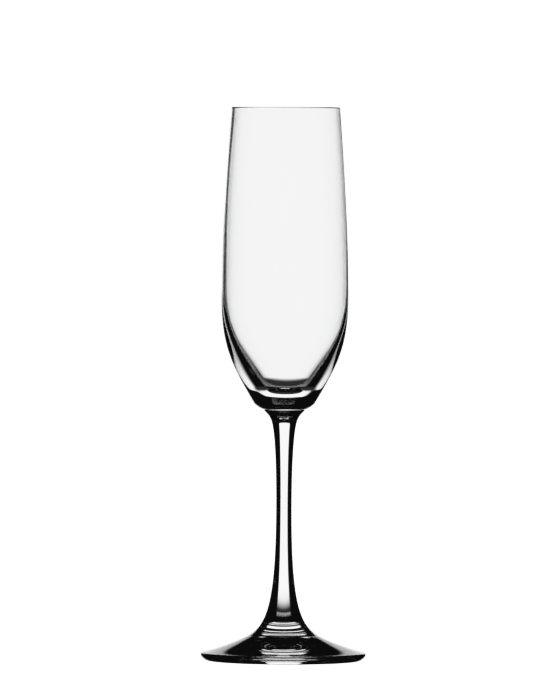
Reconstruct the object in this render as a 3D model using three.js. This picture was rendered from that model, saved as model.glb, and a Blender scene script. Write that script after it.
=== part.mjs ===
import * as THREE from 'three';

// A champagne flute of clear crystal: a blown bowl, a solid stem and a flat foot,
// made one by one and fused together hot. Millimetres, +Z up.
// The origin is the centre of the circle that the foot rests on.

// Levels, from the table up
const FOOT_EDGE_Z = 2.5;       // widest level of the foot
const FOOT_RIM_Z = 3.3;        // where the foot's top meets its rounded edge
const FOOT_JOINT_Z = 10;       // foot fused to the stem
const WAIST_Z = 61.5;          // thinnest level of the stem
const FLANGE_Z = 97.5;         // where the stem's neck opens into its flange
const BOWL_JOINT_Z = 100.7;    // bowl fused to the stem
const HEEL_Z = 103.2;          // where the rounded underside runs into the bowl's side
const FLOOR_Z = 108.6;         // lowest point of the cavity
const FLOOR_EDGE_Z = 111.8;    // where the cavity's floor runs into its side
const BELLY_Z = 147;           // widest level of the bowl
const CAVITY_BELLY_Z = 149.6;  // widest level of the cavity
const HEIGHT = 222;            // lip

// Radii at those levels
const HOLLOW_R = 27.5;         // hollow under the foot
const REST_R = 30.9;           // outer edge of the flat ring that the foot rests on
const FOOT_RIM_R = 32.2;
const FOOT_R = 33.3;
const FOOT_JOINT_R = 13.9;
const WAIST_R = 3.1;
const FLANGE_R = 5.8;
const BOWL_JOINT_R = 8.2;
const HEEL_R = 12.2;
const FLOOR_EDGE_R = 10.4;
const BELLY_R = 25.65;
const CAVITY_BELLY_R = 24.4;
const LIP_R = 21.93;

// Other sizes
const HOLLOW_DEPTH = 4;        // of the hollow under the foot
const LIP_WALL = 0.8;          // thickness of the wall at its fire-polished lip
const CAVITY_SHIFT = 0.32;     // the cavity sits this far towards +X, so that wall is thinner
const SHIFT_FADE = 30;         // the shift grows from nothing over this depth below the lip

// How far the outline leans, as radius gained for each millimetre of height
const LIP_LEAN = 0.08;         // inwards, at the lip
const HEEL_LEAN = 0.6;         // outwards, low on the bowl's side
const FLOOR_LEAN = 0.8;        // outwards, low on the cavity's side
const FLANGE_LEAN = 0.41;      // outwards, at the top of the stem
const FOOT_LEAN = 1.47;        // inwards, where the stem leaves the foot

// Sides of each turned piece
const BOWL_SIDES = 48;
const STEM_SIDES = 32;
const FOOT_SIDES = 56;

const CRYSTAL_COLOUR = 0xf2f6f6;
const CRYSTAL_ROUGHNESS = 0.04;

// Points along a smooth stretch of outline. Each corner is [radius, height], and the
// two handles say in which direction the stretch leaves its start and reaches its end.
function stretch(start, startHandle, endHandle, end, steps) {
  const corners = [start, startHandle, endHandle, end];
  const [a, b, c, d] = corners.map(([radius, height]) => new THREE.Vector2(radius, height));
  return new THREE.CubicBezierCurve(a, b, c, d).getPoints(steps);
}

// Turns an outline about the upright axis into a closed solid of glass.
function turnedGlass(name, outline, sides) {
  const points = outline.filter((point, i) => i === 0 || !point.equals(outline[i - 1]));
  const geometry = new THREE.LatheGeometry(points, sides);
  geometry.rotateX(Math.PI / 2);
  const material = new THREE.MeshStandardMaterial({
    color: CRYSTAL_COLOUR,
    roughness: CRYSTAL_ROUGHNESS,
    metalness: 0,
    transparent: true,
    opacity: 0.35,
  });
  const mesh = new THREE.Mesh(geometry, material);
  mesh.name = name;
  return mesh;
}

// Moves the cavity a little to one side, as hand blowing leaves it, but not at the lip.
// The outline's points repeat for each side of the bowl, and the last ones are the cavity's.
function shiftCavity(mesh, pointCount, cavityPointCount) {
  const place = mesh.geometry.attributes.position;
  for (let i = 0; i < place.count; i += 1) {
    if (i % pointCount >= pointCount - cavityPointCount) {
      const share = THREE.MathUtils.smoothstep(HEIGHT - place.getZ(i), 0, SHIFT_FADE);
      place.setX(i, place.getX(i) + CAVITY_SHIFT * share);
    }
  }
}

// Blown bowl: a thin wall over a thick, solid bottom.
function makeBowl() {
  const lipRadius = LIP_WALL / 2;
  const lipZ = HEIGHT - lipRadius;
  const cavityLipR = LIP_R - LIP_WALL;

  const underside = stretch(
    [BOWL_JOINT_R, BOWL_JOINT_Z],
    [BOWL_JOINT_R + 2, BOWL_JOINT_Z + 0.4],
    [HEEL_R - 0.5, HEEL_Z - 0.6],
    [HEEL_R, HEEL_Z],
    5,
  );
  const lowerSide = stretch(
    [HEEL_R, HEEL_Z],
    [HEEL_R + HEEL_LEAN * 15.2, HEEL_Z + 15.2],
    [BELLY_R, BELLY_Z - 21],
    [BELLY_R, BELLY_Z],
    12,
  );
  const upperSide = stretch(
    [BELLY_R, BELLY_Z],
    [BELLY_R, BELLY_Z + 23.6],
    [LIP_R + LIP_LEAN * 17.2, lipZ - 17.2],
    [LIP_R, lipZ],
    8,
  );
  const lip = new THREE.Path();
  lip.absarc(LIP_R - lipRadius, lipZ, lipRadius, 0, Math.PI);
  const cavityUpperSide = stretch(
    [cavityLipR, lipZ],
    [cavityLipR + LIP_LEAN * 14, lipZ - 17],
    [CAVITY_BELLY_R, CAVITY_BELLY_Z + 42.8],
    [CAVITY_BELLY_R, CAVITY_BELLY_Z],
    8,
  );
  const cavityLowerSide = stretch(
    [CAVITY_BELLY_R, CAVITY_BELLY_Z],
    [CAVITY_BELLY_R, CAVITY_BELLY_Z - 17.5],
    [FLOOR_EDGE_R + FLOOR_LEAN * 11.6, FLOOR_EDGE_Z + 11.6],
    [FLOOR_EDGE_R, FLOOR_EDGE_Z],
    13,
  );
  const cavityFloor = stretch(
    [FLOOR_EDGE_R, FLOOR_EDGE_Z],
    [FLOOR_EDGE_R - FLOOR_LEAN * 1.7, FLOOR_EDGE_Z - 1.7],
    [FLOOR_EDGE_R * 0.51, FLOOR_Z],
    [0, FLOOR_Z],
    5,
  );
  const outline = [
    new THREE.Vector2(0, BOWL_JOINT_Z),
    ...underside,
    ...lowerSide,
    ...upperSide,
    ...lip.getPoints(6).slice(1, -1),
  ];
  const cavity = [...cavityUpperSide, ...cavityLowerSide.slice(1), ...cavityFloor.slice(1)];
  const bowl = turnedGlass('bowl', [...outline, ...cavity], BOWL_SIDES);
  const pointCount = bowl.geometry.attributes.position.count / (BOWL_SIDES + 1);
  shiftCavity(bowl, pointCount, cavity.length);
  return bowl;
}

// Solid drawn stem: a trumpet on the foot, a slim waist and a small flange under the bowl.
function makeStem() {
  const trumpet = stretch(
    [FOOT_JOINT_R, FOOT_JOINT_Z],
    [FOOT_JOINT_R - FOOT_LEAN * 4.4, FOOT_JOINT_Z + 4.4],
    [WAIST_R, WAIST_Z - 41.5],
    [WAIST_R, WAIST_Z],
    14,
  );
  const neck = stretch(
    [WAIST_R, WAIST_Z],
    [WAIST_R, WAIST_Z + 34.4],
    [FLANGE_R - FLANGE_LEAN * 0.65, FLANGE_Z - 0.65],
    [FLANGE_R, FLANGE_Z],
    10,
  );
  const flange = stretch(
    [FLANGE_R, FLANGE_Z],
    [FLANGE_R + FLANGE_LEAN * 1.3, FLANGE_Z + 1.3],
    [BOWL_JOINT_R, BOWL_JOINT_Z - 0.8],
    [BOWL_JOINT_R, BOWL_JOINT_Z],
    4,
  );
  const outline = [
    new THREE.Vector2(0, FOOT_JOINT_Z),
    ...trumpet,
    ...neck,
    ...flange,
    new THREE.Vector2(0, BOWL_JOINT_Z),
  ];
  return turnedGlass('stem', outline, STEM_SIDES);
}

// Foot: a round disc that carries the stem's sweep out to a thin rounded edge. It rests on
// a flat ring, and is hollow inside the ring so that it can't rock.
function makeFoot() {
  const hollow = stretch(
    [0, HOLLOW_DEPTH],
    [HOLLOW_R * 0.4, HOLLOW_DEPTH],
    [HOLLOW_R * 0.75, HOLLOW_DEPTH * 0.34],
    [HOLLOW_R, 0],
    6,
  );
  const underEdge = stretch(
    [REST_R, 0],
    [REST_R + 0.8, 0],
    [FOOT_R - 0.1, FOOT_EDGE_Z * 0.52],
    [FOOT_R, FOOT_EDGE_Z],
    5,
  );
  const topEdge = stretch(
    [FOOT_R, FOOT_EDGE_Z],
    [FOOT_R, FOOT_EDGE_Z + 0.5],
    [FOOT_RIM_R + 0.6, FOOT_RIM_Z - 0.1],
    [FOOT_RIM_R, FOOT_RIM_Z],
    3,
  );
  const top = stretch(
    [FOOT_RIM_R, FOOT_RIM_Z],
    [FOOT_RIM_R - 3.9, FOOT_RIM_Z + 0.8],
    [FOOT_JOINT_R + 5.2, FOOT_JOINT_Z - 2.5],
    [FOOT_JOINT_R, FOOT_JOINT_Z],
    9,
  );
  const outline = [
    ...hollow,
    ...underEdge,
    ...topEdge,
    ...top,
    new THREE.Vector2(0, FOOT_JOINT_Z),
  ];
  return turnedGlass('foot', outline, FOOT_SIDES);
}

const flute = new THREE.Group();
flute.add(makeBowl());
flute.add(makeStem());
flute.add(makeFoot());

export default flute;
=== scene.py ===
"""A champagne flute of clear crystal, built as it is made: bowl, stem and foot, fused together hot."""

import math

import bpy
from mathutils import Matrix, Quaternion, Vector


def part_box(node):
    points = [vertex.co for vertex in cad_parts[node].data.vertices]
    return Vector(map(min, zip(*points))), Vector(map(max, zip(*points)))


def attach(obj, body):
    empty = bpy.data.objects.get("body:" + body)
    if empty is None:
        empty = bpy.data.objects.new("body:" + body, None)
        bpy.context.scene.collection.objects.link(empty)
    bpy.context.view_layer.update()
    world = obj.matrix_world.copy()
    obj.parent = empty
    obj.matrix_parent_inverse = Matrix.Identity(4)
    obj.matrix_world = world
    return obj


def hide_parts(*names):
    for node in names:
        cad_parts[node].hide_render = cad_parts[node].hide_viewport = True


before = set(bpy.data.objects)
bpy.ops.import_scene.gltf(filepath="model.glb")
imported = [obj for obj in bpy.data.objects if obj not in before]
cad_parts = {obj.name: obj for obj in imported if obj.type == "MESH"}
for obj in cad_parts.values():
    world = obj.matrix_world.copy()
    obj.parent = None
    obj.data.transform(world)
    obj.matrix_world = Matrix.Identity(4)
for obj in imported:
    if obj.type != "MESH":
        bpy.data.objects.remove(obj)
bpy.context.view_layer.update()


# ---- Bowl ------------------------------------------------------------------------------------
# One gather of clear crystal, blown in a mould and turned while hot. The bottom is thick and
# solid, the wall thins to under a millimetre, and the cut lip is rounded off in the flame.

mm = 0.001
bowl_low, bowl_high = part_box("bowl")
joint_height = bowl_low.z / mm
lip_height = bowl_high.z / mm
belly_radius = bowl_high.x / mm
joint_radius = 8.2
heel_radius, heel_height = 12.2, 103.2
belly_height = 147
lip_radius = 21.93
lip_wall = 0.8
lip_round = lip_wall / 2
lip_side_height = lip_height - lip_round
crest_radius = lip_radius - lip_round
round_handle = lip_round * 0.55  # a handle this long makes a quarter circle
cavity_belly_radius, cavity_belly_height = 24.4, 149.6
floor_edge_radius, floor_edge_height = 10.4, 111.8
floor_height = 108.6
heel_lean = 0.6  # radius gained for each millimetre of height, low on the side
floor_lean = 0.8  # the same, low in the cavity
cavity_shift = 0.32  # the cavity sits this far to one side, so that wall is thinner
shift_fade = 30  # the shift dies away over this depth below the lip
outline_steps = 24  # on each stretch of an outline
turn_steps = 256
weld_distance = 1e-7  # in metres
same_level = 1e-6  # in metres


def draw_outline(name, corners):
    """Draws half of a round piece's outline as one smooth line and makes it a mesh. A corner is
    (handle before, place, handle after), each a (radius, height) in millimetres."""
    bpy.ops.object.select_all(action="DESELECT")
    bpy.ops.curve.primitive_bezier_curve_add(location=(0, 0, 0))
    line = bpy.context.object
    line.name = name
    spline = line.data.splines[0]
    spline.resolution_u = outline_steps
    spline.bezier_points.add(len(corners) - 2)
    for point, corner in zip(spline.bezier_points, corners):
        before, place, after = [Vector((radius * mm, 0, height * mm)) for radius, height in corner]
        point.handle_left_type = "FREE"
        point.handle_right_type = "FREE"
        point.handle_left = before
        point.co = place
        point.handle_right = after
    bpy.ops.object.convert(target="MESH")
    outline = bpy.context.object
    outline.data.name = name
    return outline


def turn(outline):
    """Spins an outline once round the upright axis and welds the seam and the poles."""
    bpy.ops.object.mode_set(mode="EDIT")
    bpy.ops.mesh.select_all(action="SELECT")
    bpy.ops.mesh.spin(steps=turn_steps, angle=2 * math.pi, center=(0, 0, 0), axis=(0, 0, 1))
    bpy.ops.mesh.select_all(action="SELECT")
    bpy.ops.mesh.remove_doubles(threshold=weld_distance)
    bpy.ops.object.mode_set(mode="OBJECT")


bowl = draw_outline(
    "crystal_bowl",
    [
        ((joint_radius, joint_height),) * 2 + ((joint_radius + 2, joint_height + 0.4),),
        (
            (heel_radius - 0.5, heel_height - 0.6),
            (heel_radius, heel_height),
            (heel_radius + heel_lean * 15.2, heel_height + 15.2),
        ),
        (
            (belly_radius, belly_height - 21),
            (belly_radius, belly_height),
            (belly_radius, belly_height + 23.6),
        ),
        (
            (lip_radius + 1.38, lip_side_height - 17.2),
            (lip_radius, lip_side_height),
            (lip_radius, lip_side_height + round_handle),
        ),
        ((crest_radius + round_handle, lip_height),) + ((crest_radius, lip_height),) * 2,
    ],
)
turn(bowl)

cavity = draw_outline(
    "cavity",
    [
        ((crest_radius, lip_height),) * 2 + ((crest_radius - round_handle, lip_height),),
        (
            (lip_radius - lip_wall, lip_side_height + round_handle),
            (lip_radius - lip_wall, lip_side_height),
            (lip_radius - lip_wall + 1.12, lip_side_height - 17),
        ),
        (
            (cavity_belly_radius, cavity_belly_height + 42.8),
            (cavity_belly_radius, cavity_belly_height),
            (cavity_belly_radius, cavity_belly_height - 17.5),
        ),
        (
            (floor_edge_radius + floor_lean * 11.6, floor_edge_height + 11.6),
            (floor_edge_radius, floor_edge_height),
            (floor_edge_radius - floor_lean * 1.7, floor_edge_height - 1.7),
        ),
        ((floor_edge_radius * 0.51, floor_height),) + ((0, floor_height),) * 2,
    ],
)
turn(cavity)
for vertex in cavity.data.vertices:
    vertex.select = vertex.co.z < (lip_height - shift_fade) * mm
bpy.ops.object.mode_set(mode="EDIT")
bpy.ops.transform.translate(
    value=(cavity_shift * mm, 0, 0),
    use_proportional_edit=True,
    proportional_edit_falloff="SMOOTH",
    proportional_size=shift_fade * mm,
)
bpy.ops.object.mode_set(mode="OBJECT")

bpy.ops.object.select_all(action="DESELECT")
cavity.select_set(True)
bowl.select_set(True)
bpy.context.view_layer.objects.active = bowl
bpy.ops.object.join()
bpy.ops.object.mode_set(mode="EDIT")
bpy.ops.mesh.select_all(action="SELECT")
bpy.ops.mesh.remove_doubles(threshold=weld_distance)
bpy.ops.object.mode_set(mode="OBJECT")

# Hot-worked glass is never quite flat or quite clean: its surface rolls by a few thousandths of a
# millimetre, some patches are a shade less clear, and a faint haze is left where it was handled.
refraction = 1.5
patches_per_metre = 35
smears_per_metre = 220
smear_start, smear_full = 0.58, 0.8  # the parts of the noise that show as a smear
least_clear = (0.985, 0.99, 0.99, 1)
clearest = (1, 1, 1, 1)

skin = bpy.data.node_groups.new("worked_glass_skin", "ShaderNodeTree")
skin.interface.new_socket("Waves per Metre", in_out="INPUT", socket_type="NodeSocketFloat")
skin.interface.new_socket("Haze", in_out="INPUT", socket_type="NodeSocketFloat")
skin.interface.new_socket("Colour", in_out="OUTPUT", socket_type="NodeSocketColor")
skin.interface.new_socket("Roughness", in_out="OUTPUT", socket_type="NodeSocketFloat")
skin.interface.new_socket("Height", in_out="OUTPUT", socket_type="NodeSocketFloat")
nodes, link = skin.nodes, skin.links.new
given = nodes.new("NodeGroupInput")
result = nodes.new("NodeGroupOutput")
place = nodes.new("ShaderNodeTexCoord")
rolling = nodes.new("ShaderNodeTexNoise")
rolling.inputs["Detail"].default_value = 1
link(place.outputs["Object"], rolling.inputs["Vector"])
link(given.outputs["Waves per Metre"], rolling.inputs["Scale"])
link(rolling.outputs["Fac"], result.inputs["Height"])
clearness = nodes.new("ShaderNodeTexNoise")
clearness.inputs["Scale"].default_value = patches_per_metre
link(place.outputs["Object"], clearness.inputs["Vector"])
clear_range = nodes.new("ShaderNodeValToRGB")
clear_range.color_ramp.elements[0].color = least_clear
clear_range.color_ramp.elements[1].color = clearest
link(clearness.outputs["Fac"], clear_range.inputs["Fac"])
link(clear_range.outputs["Color"], result.inputs["Colour"])
smears = nodes.new("ShaderNodeTexNoise")
smears.inputs["Scale"].default_value = smears_per_metre
smears.inputs["Detail"].default_value = 4
link(place.outputs["Object"], smears.inputs["Vector"])
smear_range = nodes.new("ShaderNodeMapRange")
smear_range.inputs["From Min"].default_value = smear_start
smear_range.inputs["From Max"].default_value = smear_full
link(smears.outputs["Fac"], smear_range.inputs["Value"])
haze = nodes.new("ShaderNodeMath")
haze.operation = "MULTIPLY"
link(smear_range.outputs["Result"], haze.inputs[0])
link(given.outputs["Haze"], haze.inputs[1])
link(haze.outputs[0], result.inputs["Roughness"])


def make_crystal(name, waves, haze_level, wave_depth):
    """Clear crystal whose skin rolls in waves, so many to a metre and so deep in metres."""
    crystal = bpy.data.materials.new(name)
    crystal.use_nodes = True
    nodes, link = crystal.node_tree.nodes, crystal.node_tree.links.new
    surface = nodes["Principled BSDF"]
    surface.inputs["IOR"].default_value = refraction
    surface.inputs["Transmission Weight"].default_value = 1
    worked = nodes.new("ShaderNodeGroup")
    worked.node_tree = skin
    worked.inputs["Waves per Metre"].default_value = waves
    worked.inputs["Haze"].default_value = haze_level
    link(worked.outputs["Colour"], surface.inputs["Base Color"])
    link(worked.outputs["Roughness"], surface.inputs["Roughness"])
    relief = nodes.new("ShaderNodeBump")
    relief.inputs["Distance"].default_value = wave_depth
    link(worked.outputs["Height"], relief.inputs["Height"])
    link(relief.outputs["Normal"], surface.inputs["Normal"])
    return crystal


# Where two pieces fuse the glass is one body, so light goes straight on through the joint.
fused = bpy.data.materials.new("fused_joint")
fused.use_nodes = True
fused.node_tree.nodes.clear()
straight_through = fused.node_tree.nodes.new("ShaderNodeBsdfTransparent")
fused_output = fused.node_tree.nodes.new("ShaderNodeOutputMaterial")
fused.node_tree.links.new(straight_through.outputs["BSDF"], fused_output.inputs["Surface"])


def close_joint(piece, height):
    """Closes the round opening at this height, in metres, with one flat fused face."""
    bpy.ops.object.mode_set(mode="EDIT")
    bpy.ops.mesh.select_mode(type="EDGE")
    bpy.ops.mesh.select_all(action="DESELECT")
    bpy.ops.mesh.select_non_manifold(extend=False)
    bpy.ops.object.mode_set(mode="OBJECT")
    vertices = piece.data.vertices
    for edge in piece.data.edges:
        if edge.select:
            edge.select = all(abs(vertices[end].co.z - height) < same_level for end in edge.vertices)
    bpy.ops.object.mode_set(mode="EDIT")
    bpy.ops.mesh.edge_face_add()
    bpy.ops.mesh.mark_sharp()
    piece.active_material_index = 1
    bpy.ops.object.material_slot_assign()
    bpy.ops.object.mode_set(mode="OBJECT")


def finish_glass(piece, crystal, joint_heights):
    """Gives a turned piece its glass, closes its joints, and smooths it with its faces outward."""
    bpy.ops.object.select_all(action="DESELECT")
    piece.select_set(True)
    bpy.context.view_layer.objects.active = piece
    piece.data.materials.append(crystal)
    piece.data.materials.append(fused)
    for height in joint_heights:
        close_joint(piece, height)
    bpy.ops.object.mode_set(mode="EDIT")
    bpy.ops.mesh.select_all(action="SELECT")
    bpy.ops.mesh.normals_make_consistent(inside=False)
    bpy.ops.object.mode_set(mode="OBJECT")
    bpy.ops.object.shade_smooth()


blown = make_crystal("blown_crystal", waves=60, haze_level=0.02, wave_depth=0.000003)
finish_glass(bowl, blown, [bowl_low.z])
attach(bowl, "root")
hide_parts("bowl")


# ---- Stem ------------------------------------------------------------------------------------
# A solid rod of the same crystal, drawn out hot to a slim waist. It flares to a trumpet that is
# fused onto the foot, and opens under the bowl into a small flange that is fused to the bowl.

stem_low, stem_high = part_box("stem")
foot_joint_radius, foot_joint_height = stem_high.x / mm, stem_low.z / mm
waist_radius, waist_height = 3.1, 61.5
flange_radius, flange_height = 5.8, 97.5

stem = draw_outline(
    "crystal_stem",
    [
        ((foot_joint_radius, foot_joint_height),) * 2
        + ((foot_joint_radius - 6.47, foot_joint_height + 4.4),),
        (
            (waist_radius, waist_height - 41.5),
            (waist_radius, waist_height),
            (waist_radius, waist_height + 34.4),
        ),
        (
            (flange_radius - 0.27, flange_height - 0.65),
            (flange_radius, flange_height),
            (flange_radius + 0.53, flange_height + 1.3),
        ),
        ((joint_radius, joint_height - 0.8),) + ((joint_radius, joint_height),) * 2,
    ],
)
turn(stem)
drawn = make_crystal("drawn_crystal", waves=45, haze_level=0.02, wave_depth=0.000004)
finish_glass(stem, drawn, [stem_low.z, stem_high.z])
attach(stem, "root")
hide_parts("stem")


# ---- Foot ------------------------------------------------------------------------------------
# A gather of the same crystal, spread hot into a round disc and fused under the stem. It is hollow
# underneath and stands on a flat ring, so that it can't rock. The edge is rounded in the flame.

foot_low, foot_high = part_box("foot")
foot_radius = foot_high.x / mm
edge_height = 2.5
rim_radius, rim_height = 32.2, 3.3
hollow_radius, hollow_depth = 27.5, 4
rest_radius = 30.9
ground = foot_low.z / mm

foot = draw_outline(
    "crystal_foot",
    [
        ((0, hollow_depth),) * 2 + ((hollow_radius * 0.4, hollow_depth),),
        (
            (hollow_radius * 0.75, hollow_depth * 0.34),
            (hollow_radius, ground),
            (hollow_radius + 0.9, ground),
        ),
        ((rest_radius - 0.9, ground), (rest_radius, ground), (rest_radius + 0.8, ground)),
        (
            (foot_radius - 0.1, edge_height * 0.52),
            (foot_radius, edge_height),
            (foot_radius, edge_height + 0.5),
        ),
        (
            (rim_radius + 0.6, rim_height - 0.1),
            (rim_radius, rim_height),
            (rim_radius - 3.9, rim_height + 0.8),
        ),
        ((foot_joint_radius + 5.2, foot_joint_height - 2.5),)
        + ((foot_joint_radius, foot_joint_height),) * 2,
    ],
)
turn(foot)
spread = make_crystal("spread_crystal", waves=45, haze_level=0.03, wave_depth=0.000008)
finish_glass(foot, spread, [foot_high.z])
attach(foot, "root")
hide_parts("foot")


# ---- Camera ----------------------------------------------------------------------------------
# A long lens a few metres off, a little above the lip, so that the flute stands nearly square on:
# the lip shows almost as a line, and the foot as a thin ellipse.

scene = bpy.context.scene
camera_distance = 4.4
above_lip = 0.0346
picture_height = 0.278  # what the picture takes in from top to bottom, at the flute
aim = Vector((-0.0039, 0, 0.126))
tilt = math.radians(-0.29)
furthest_seen = 50

lens = bpy.data.cameras.new("camera")
lens.clip_end = furthest_seen
camera = bpy.data.objects.new("camera", lens)
scene.collection.objects.link(camera)
camera.location = (0, -camera_distance, bowl_high.z + above_lip)
line_of_sight = aim - camera.location
lens.lens = lens.sensor_width * line_of_sight.length / picture_height
camera.rotation_mode = "QUATERNION"
level_view = line_of_sight.to_track_quat("-Z", "Y")
camera.rotation_quaternion = Quaternion(line_of_sight.normalized(), tilt) @ level_view
scene.camera = camera


# ---- Studio ----------------------------------------------------------------------------------
# Glass is lit from behind: a soft panel stands beyond it in a dark room, so that the middle of the
# glass is bright and its edges draw dark lines. The floor and the background are plain and white.

panel_distance = 0.8
panel_left, panel_right = -0.271, 0.248
panel_bottom, panel_top = -0.325, 0.25
left_softness, right_softness = 0.04, 0.02
top_softness, bottom_softness = 0.04, 0.12
paper_bottom = -1.2  # below the panel a dimly lit sheet hangs down to here
paper_light = 0.03
panel_light = 0.883
room_light = 0.0031
light_bounces = 32  # enough for light to find its way through the thick glass
floor_size = 12
floor_gap = 0.0005  # keeps the floor just clear of the foot

# The picture is printed as film prints: mid greys are lifted and the brightest rolled off gently.
# Each tone is a light and what it is shown as, where black is 0 and white is 1.
dark_tone = (0.15, 0.18)
middle_tone = (0.45, 0.62)
light_tone = (0.6, 0.82)
bright_tone = (0.75, 0.91)

scene.view_settings.view_transform = "Standard"
scene.view_settings.use_curve_mapping = True
printing = scene.view_settings.curve_mapping
for light, shown in (dark_tone, middle_tone, light_tone, bright_tone):
    printing.curves[3].points.new(light, shown)
printing.update()
scene.cycles.max_bounces = light_bounces
scene.cycles.transmission_bounces = light_bounces
scene.cycles.glossy_bounces = light_bounces // 2
scene.cycles.transparent_max_bounces = light_bounces

room = bpy.data.worlds.new("studio")
room.use_nodes = True
scene.world = room
nodes, link = room.node_tree.nodes, room.node_tree.links.new
nodes.clear()
seen = nodes.new("ShaderNodeLightPath")
backdrop = nodes.new("ShaderNodeMix")
backdrop.data_type = "RGBA"
backdrop.inputs["A"].default_value = (room_light, room_light, room_light, 1)
backdrop.inputs["B"].default_value = (1, 1, 1, 1)
glow = nodes.new("ShaderNodeBackground")
room_output = nodes.new("ShaderNodeOutputWorld")
link(seen.outputs["Is Camera Ray"], backdrop.inputs["Factor"])
link(backdrop.outputs["Result"], glow.inputs["Color"])
link(glow.outputs["Background"], room_output.inputs["Surface"])

stand = bpy.data.objects.new("panel_stand", None)
scene.collection.objects.link(stand)
stand.location = (0, 0, bowl_high.z / 2)
facing = stand.constraints.new("TRACK_TO")
facing.target = camera
facing.track_axis = "TRACK_NEGATIVE_Y"
facing.up_axis = "UP_Z"

panel_width = panel_right - panel_left + left_softness + right_softness
panel_middle = (panel_right + right_softness + panel_left - left_softness) / 2
panel_height = panel_top + top_softness - paper_bottom
bpy.ops.object.select_all(action="DESELECT")
bpy.ops.mesh.primitive_plane_add(size=1)
panel = bpy.context.object
panel.name = "panel"
bpy.ops.object.mode_set(mode="EDIT")
bpy.ops.transform.resize(value=(panel_width, panel_height, 1))
bpy.ops.transform.translate(
    value=(panel_middle, (panel_top + top_softness + paper_bottom) / 2, 0)
)
bpy.ops.object.mode_set(mode="OBJECT")
panel.rotation_euler = (math.radians(90), 0, 0)
panel.location = (0, panel_distance, 0)
panel.parent = stand
panel.visible_camera = False
panel.visible_diffuse = False
panel.visible_shadow = False

cloth = bpy.data.materials.new("panel")
cloth.use_nodes = True
nodes, link = cloth.node_tree.nodes, cloth.node_tree.links.new
nodes.clear()
where = nodes.new("ShaderNodeTexCoord")
axes = nodes.new("ShaderNodeSeparateXYZ")
link(where.outputs["Object"], axes.inputs["Vector"])


def fade(axis, start, end, low=0):
    """A soft edge of the panel: from low at start to full light at end."""
    edge = nodes.new("ShaderNodeMapRange")
    edge.interpolation_type = "SMOOTHSTEP"
    edge.inputs["From Min"].default_value = start
    edge.inputs["From Max"].default_value = end
    edge.inputs["To Min"].default_value = low
    link(axes.outputs[axis], edge.inputs["Value"])
    return edge.outputs["Result"]


def times(first, second):
    product = nodes.new("ShaderNodeMath")
    product.operation = "MULTIPLY"
    link(first, product.inputs[0])
    link(second, product.inputs[1])
    return product.outputs[0]


left_edge = fade("X", panel_left - left_softness, panel_left + left_softness)
right_edge = fade("X", panel_right + right_softness, panel_right - right_softness)
top_edge = fade("Y", panel_top + top_softness, panel_top - top_softness)
bottom_edge = fade("Y", panel_bottom - bottom_softness, panel_bottom + bottom_softness, paper_light)
shape = times(times(left_edge, right_edge), times(top_edge, bottom_edge))
full_light = nodes.new("ShaderNodeMath")
full_light.operation = "MULTIPLY"
full_light.inputs[1].default_value = panel_light
link(shape, full_light.inputs[0])
lamp = nodes.new("ShaderNodeEmission")
link(full_light.outputs[0], lamp.inputs["Strength"])
lamp_output = nodes.new("ShaderNodeOutputMaterial")
link(lamp.outputs["Emission"], lamp_output.inputs["Surface"])
panel.data.materials.append(cloth)

bpy.ops.object.select_all(action="DESELECT")
bpy.ops.mesh.primitive_plane_add(size=floor_size, location=(0, 0, -floor_gap))
floor = bpy.context.object
floor.name = "floor"
floor.visible_diffuse = False
floor.visible_glossy = False
floor.visible_transmission = False
floor.visible_shadow = False
paper = bpy.data.materials.new("floor")
paper.use_nodes = True
paper.node_tree.nodes.clear()
paper_glow = paper.node_tree.nodes.new("ShaderNodeEmission")
paper_output = paper.node_tree.nodes.new("ShaderNodeOutputMaterial")
paper.node_tree.links.new(paper_glow.outputs["Emission"], paper_output.inputs["Surface"])
floor.data.materials.append(paper)
